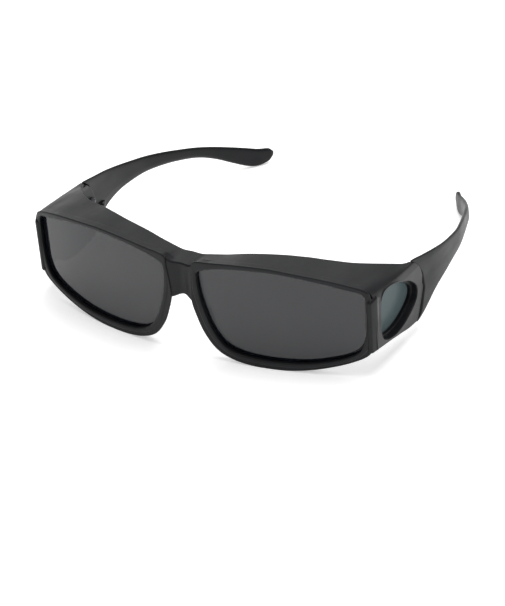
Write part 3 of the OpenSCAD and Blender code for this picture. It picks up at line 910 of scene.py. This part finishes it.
class TempleShape:
    """A temple's skin, in millimetres from the front datum."""

    edge = 0.6

    def __init__(self, settings):
        self.thick, self.tip = settings.thickness / MM, settings.tip_thickness / MM
        self.gap = settings.gap / MM
        line = open_curve(TEMPLE, 12)
        self.x = [(y, x) for x, y, low, high in line]
        self.low = [(y, low) for x, y, low, high in line]
        self.high = [(y, high) for x, y, low, high in line]
        self.start, self.end = TEMPLE[0][1], TEMPLE[-1][1]

    def section(self, y):
        """At y: rounded outline, as distance in from the outer face and height up; height; thickness."""
        k = (y - self.start) / 118
        h = lookup(y, self.high) - lookup(y, self.low)
        th, e = self.thick + (self.tip - self.thick) * k, min(self.edge, h / 4)
        # The upper slope of the outer face and the chamfer below fade toward the tip
        s, u = 1 - 0.55 * k, 1.2 * (1 - k)
        pairs = [
            (0.5, 0), (0.15, 0.03), (0, 0.1), (0.2 * s, 0.45), (0.55 * s, 0.72), (0.9 * s, 0.9),
            (1.4 * s, 0.985), (th - e, 1), (th - e / 4, 1 - e / h), (th, 1 - 3 * e / h), (th, 0.35),
            (th - e / 2, (e + u) / h), (th - 1.8 * e, 0.6 * u / h),
        ]
        return rounded([(q, f * h) for q, f in pairs], [self.edge] * len(pairs), 3), h, th

    def joint_y(self, j, share):
        """Where corner j of the ring meets the joint's arc, found in a few steps."""
        y = 62.0 if share < 1 else self.end
        reach = (JOINT[2] + self.gap) ** 2
        for _ in range(7):
            z = lookup(y, self.low) + self.section(y)[0][j][1]
            y = JOINT[0] + math.sqrt(max(reach - (z - JOINT[1]) ** 2, 1.0))
        return y

    def ring(self, share, shrink):
        """A closed ring at a share of the length; shrink pulls it in towards its middle."""
        out = []
        for j in range(len(self.section(self.start)[0])):
            first = self.joint_y(j, share)
            y = first + (self.end - first) * share
            outline, h, th = self.section(y)
            p = outline[j]
            q = p[0] + (th / 2 - p[0]) * min(1, shrink / (th / 2))
            f = p[1] + (h / 2 - p[1]) * min(1, shrink / (h / 2))
            dx = lookup(y + 0.5, self.x) - lookup(y - 0.5, self.x)
            length = math.hypot(dx, 1)
            across, along = 1 / length, -dx / length
            out.append((lookup(y, self.x) - across * q, y - along * q, lookup(y, self.low) + f))
        return out

    def skin(self):
        """The blade, its rings given as pairs of share and shrink."""
        n = 130
        near = [(0.0, 0.2), (0.0008, 0.08), (0.0025, 0.02), (0.006, 0)]
        blade = [
            (0.006 + 0.978 * ease(k / n) * 0.25 + 0.978 * (k / n) * 0.75, 0) for k in range(1, n + 1)
        ]
        tail = [(0.988, 0.05), (0.992, 0.16), (0.996, 0.4), (0.999, 0.75), (1.0, 1.0)]
        return sweep([self.ring(*pair) for pair in near + blade + tail], False)

    def seat(self):
        """Low pad under the hinge leaf that fades into the inner face."""
        x, y, z = HINGE[0] + 1.9, HINGE[1], HINGE[2]
        near = [(x + 0.15 * k, y + a, z + b) for k, i in ((0, 0.15), (1, 0), (9, 0))
                for a in (1.6 + i, 6.2 - i) for b in (-3.2 + i, 4.4 - i)]
        far = [(x + d, y + a, z + b) for d in (1.2, 1.8) for a in (8, 9) for b in (-2, 3.2)]
        return hull_of(near + far)


class SUNGLASSES_OT_temples(bpy.types.Operator):
    """Make the two broad temples with their drooping tips"""

    bl_idname = "sunglasses.temples"
    bl_label = "Temples"

    def execute(self, context):
        s = context.scene.sunglasses_frame
        t = TempleShape(context.scene.sunglasses_temples)
        material = moulded_black("satin_black_temple", s.colour, s.roughness, 0.17)
        shapes = [t.skin(), t.seat()]
        for name in ("right", "left"):
            parts = shapes if name == "right" else [mirrored(p) for p in shapes]
            arm = build(f"{name}_temple_moulding", parts, crease=40)
            level_underside(arm)
            dress(arm, material, f"{name}_temple_arm", "temples", f"{name}_temple")
        return {"FINISHED"}


# ---- hinges


def pin_head_tree(material):
    """Geometry Nodes: a domed head on every point, flattened along X."""
    tree = bpy.data.node_groups.new("domed_pin_heads", "GeometryNodeTree")
    sockets = {}
    kinds = {"Geometry": "Geometry", "Head radius": "Float", "Head height": "Float", "Sides": "Int"}
    for name, kind in kinds.items():
        socket = tree.interface.new_socket(name, in_out="INPUT", socket_type=f"NodeSocket{kind}")
        sockets[name] = socket.identifier
    tree.interface.new_socket("Geometry", in_out="OUTPUT", socket_type="NodeSocketGeometry")
    nodes = tree.nodes
    given, out = nodes.new("NodeGroupInput"), nodes.new("NodeGroupOutput")
    dome = nodes.new("GeometryNodeMeshUVSphere")
    dome.inputs["Radius"].default_value = 1
    dome.inputs["Rings"].default_value = 14
    size = nodes.new("ShaderNodeCombineXYZ")
    instance = nodes.new("GeometryNodeInstanceOnPoints")
    shade = nodes.new("GeometryNodeSetShadeSmooth")
    real = nodes.new("GeometryNodeRealizeInstances")
    paint = nodes.new("GeometryNodeSetMaterial")
    paint.inputs["Material"].default_value = material
    for source, output, target, entry in (
        (given, "Sides", dome, "Segments"),
        (given, "Head height", size, "X"),
        (given, "Head radius", size, "Y"),
        (given, "Head radius", size, "Z"),
        (given, "Geometry", instance, "Points"),
        (dome, "Mesh", instance, "Instance"),
        (size, "Vector", instance, "Scale"),
        (instance, "Instances", shade, "Geometry"),
        (shade, "Geometry", real, "Geometry"),
        (real, "Geometry", paint, "Geometry"),
        (paint, "Geometry", out, "Geometry"),
    ):
        tree.links.new(source.outputs[output], target.inputs[entry])
    return tree, sockets


class SUNGLASSES_OT_hinges(bpy.types.Operator):
    """Finish the hinge leaves and screws, and dome the heads of the leaf pins"""

    bl_idname = "sunglasses.hinges"
    bl_label = "Hinges"

    def execute(self, context):
        s = context.scene.sunglasses_hinges
        leaf = black_metal("painted_leaf", s.leaf_colour, 0.5)
        steel = turned_steel("turned_steel", s.steel_colour, 0.3)
        for name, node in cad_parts.items():
            if name.endswith(("_leaf", "_screw", "_pins")):
                node.data.materials.clear()
                node.data.materials.append(leaf if name.endswith("_leaf") else steel)
        tree, sockets = pin_head_tree(steel)
        groups = (
            ("front_pin_heads", "front", FRONT_PINS, (1, -1)),
            ("right_temple_pin_heads", "right_temple_arm", TEMPLE_PINS, (1,)),
            ("left_temple_pin_heads", "left_temple_arm", TEMPLE_PINS, (-1,)),
        )
        # The heads stand on the inner faces of the leaves, sunk a little way in
        sunk = 0.1
        head_x = HINGE[0] + 0.98 - sunk
        for name, body, pins, sides in groups:
            points = [
                (k * head_x * MM, (HINGE[1] + y - MID_Y) * MM, (HINGE[2] + z) * MM)
                for k in sides
                for y, z in pins
            ]
            mesh = bpy.data.meshes.new(name)
            mesh.from_pydata(points, [], [])
            holder = bpy.data.objects.new(name, mesh)
            context.scene.collection.objects.link(holder)
            modifier = holder.modifiers.new("heads", "NODES")
            modifier.node_group = tree
            modifier[sockets["Head radius"]] = s.pin_head_radius
            modifier[sockets["Head height"]] = s.pin_head_height + sunk * MM
            modifier[sockets["Sides"]] = 28
            keep_result(holder, modifier)
            dress(holder, steel, body, "hinge_fixings")
        return {"FINISHED"}


# ---- stage

# Where the camera stands, and its directions right, up and back
CAMERA_PLACE = (0.4769, -0.8713 - MID_Y * MM, 0.5891)
CAMERA_AXES = ((0.8909, 0.4541, 0), (-0.2240, 0.4394, 0.8698), (0.3951, -0.7751, 0.4932))


class SUNGLASSES_OT_stage(bpy.types.Operator):
    """Set the floor, the lights and the camera"""

    bl_idname = "sunglasses.stage"
    bl_label = "Stage"

    def execute(self, context):
        scene = context.scene
        s = scene.sunglasses_stage
        r = s.floor_reach
        mesh = bpy.data.meshes.new("floor")
        mesh.from_pydata([(-r, -r, 0), (r, -r, 0), (r, r, 0), (-r, r, 0)], [], [(0, 1, 2, 3)])
        floor = bpy.data.objects.new("floor", mesh)
        scene.collection.objects.link(floor)
        material, tree, shader = new_material(
            "pale_floor", s.floor_colour, 0.9, Specular_IOR_Level=0.1,
            Emission_Color=(1, 1, 1, 1), Emission_Strength=s.floor_glow)
        shade = noise_node(tree, 3, 2)
        darker = [c * 0.99 for c in s.floor_colour]
        drive(tree, shader, Base_Color=mixed(tree, ranged(tree, shade, 0, 1), darker, s.floor_colour))
        mesh.materials.append(material)

        world = bpy.data.worlds.new("studio")
        world.use_nodes = True
        sky = world.node_tree.nodes["Background"]
        sky.inputs["Color"].default_value = (1, 1, 1, 1)
        sky.inputs["Strength"].default_value = s.sky
        scene.world = world
        scene.view_settings.view_transform = "Standard"

        def area(name, place, aim, size, power):
            light = bpy.data.lights.new(name, "AREA")
            light.shape, light.size, light.size_y, light.energy = "RECTANGLE", size[0], size[1], power
            obj = bpy.data.objects.new(name, light)
            obj.location = place
            obj.rotation_euler = (Vector(aim) - Vector(place)).to_track_quat("-Z", "Y").to_euler()
            scene.collection.objects.link(obj)

        area("top_light", (0.1, 0.0, 1.1), (0, 0, 0), (0.85, 0.75), s.top_light)
        area("back_light", (-0.5, 1.0, 1.0), (0, 0, 0.02), (1.2, 0.6), s.back_light)

        camera = bpy.data.cameras.new("camera")
        camera.sensor_width, camera.sensor_fit = 36, "AUTO"
        camera.lens = s.camera_lens
        camera.clip_start, camera.clip_end = 0.05, 30
        camera.dof.use_dof = False
        obj = bpy.data.objects.new("camera", camera)
        obj.matrix_world = Matrix.Translation(CAMERA_PLACE) @ Matrix(CAMERA_AXES).transposed().to_4x4()
        scene.collection.objects.link(obj)
        scene.camera = obj
        return {"FINISHED"}


class SUNGLASSES_PT_panel(bpy.types.Panel):
    """Sizes, colours and steps of the sunglasses"""

    bl_label = "Sunglasses"
    bl_idname = "SUNGLASSES_PT_panel"
    bl_space_type = "VIEW_3D"
    bl_region_type = "UI"
    bl_category = "Sunglasses"

    def draw(self, context):
        for key in SETTINGS:
            group = getattr(context.scene, key)
            box = self.layout.box()
            box.label(text=key.split("_")[1].capitalize())
            for name in type(group).__annotations__:
                box.prop(group, name)
        for step in STEPS:
            self.layout.operator(step.bl_idname)


STEPS = (
    SUNGLASSES_OT_front,
    SUNGLASSES_OT_front_lenses,
    SUNGLASSES_OT_side_lenses,
    SUNGLASSES_OT_temples,
    SUNGLASSES_OT_hinges,
    SUNGLASSES_OT_stage,
)


def register():
    """Makes the settings, the steps and the panel known."""
    for group in SETTINGS.values():
        bpy.utils.register_class(group)
    for key, group in SETTINGS.items():
        setattr(bpy.types.Scene, key, bpy.props.PointerProperty(type=group))
    for step in STEPS:
        bpy.utils.register_class(step)
    bpy.utils.register_class(SUNGLASSES_PT_panel)


def unregister():
    """Takes the panel, the steps and the settings away again."""
    bpy.utils.unregister_class(SUNGLASSES_PT_panel)
    for step in reversed(STEPS):
        bpy.utils.unregister_class(step)
    for key, group in SETTINGS.items():
        delattr(bpy.types.Scene, key)
        bpy.utils.unregister_class(group)


def main():
    """Makes the settings known and runs every step in order."""
    register()
    bpy.ops.sunglasses.stage()
    bpy.ops.sunglasses.front()
    bpy.ops.sunglasses.front_lenses()
    bpy.ops.sunglasses.side_lenses()
    bpy.ops.sunglasses.temples()
    bpy.ops.sunglasses.hinges()


if __name__ == "__main__":
    main()
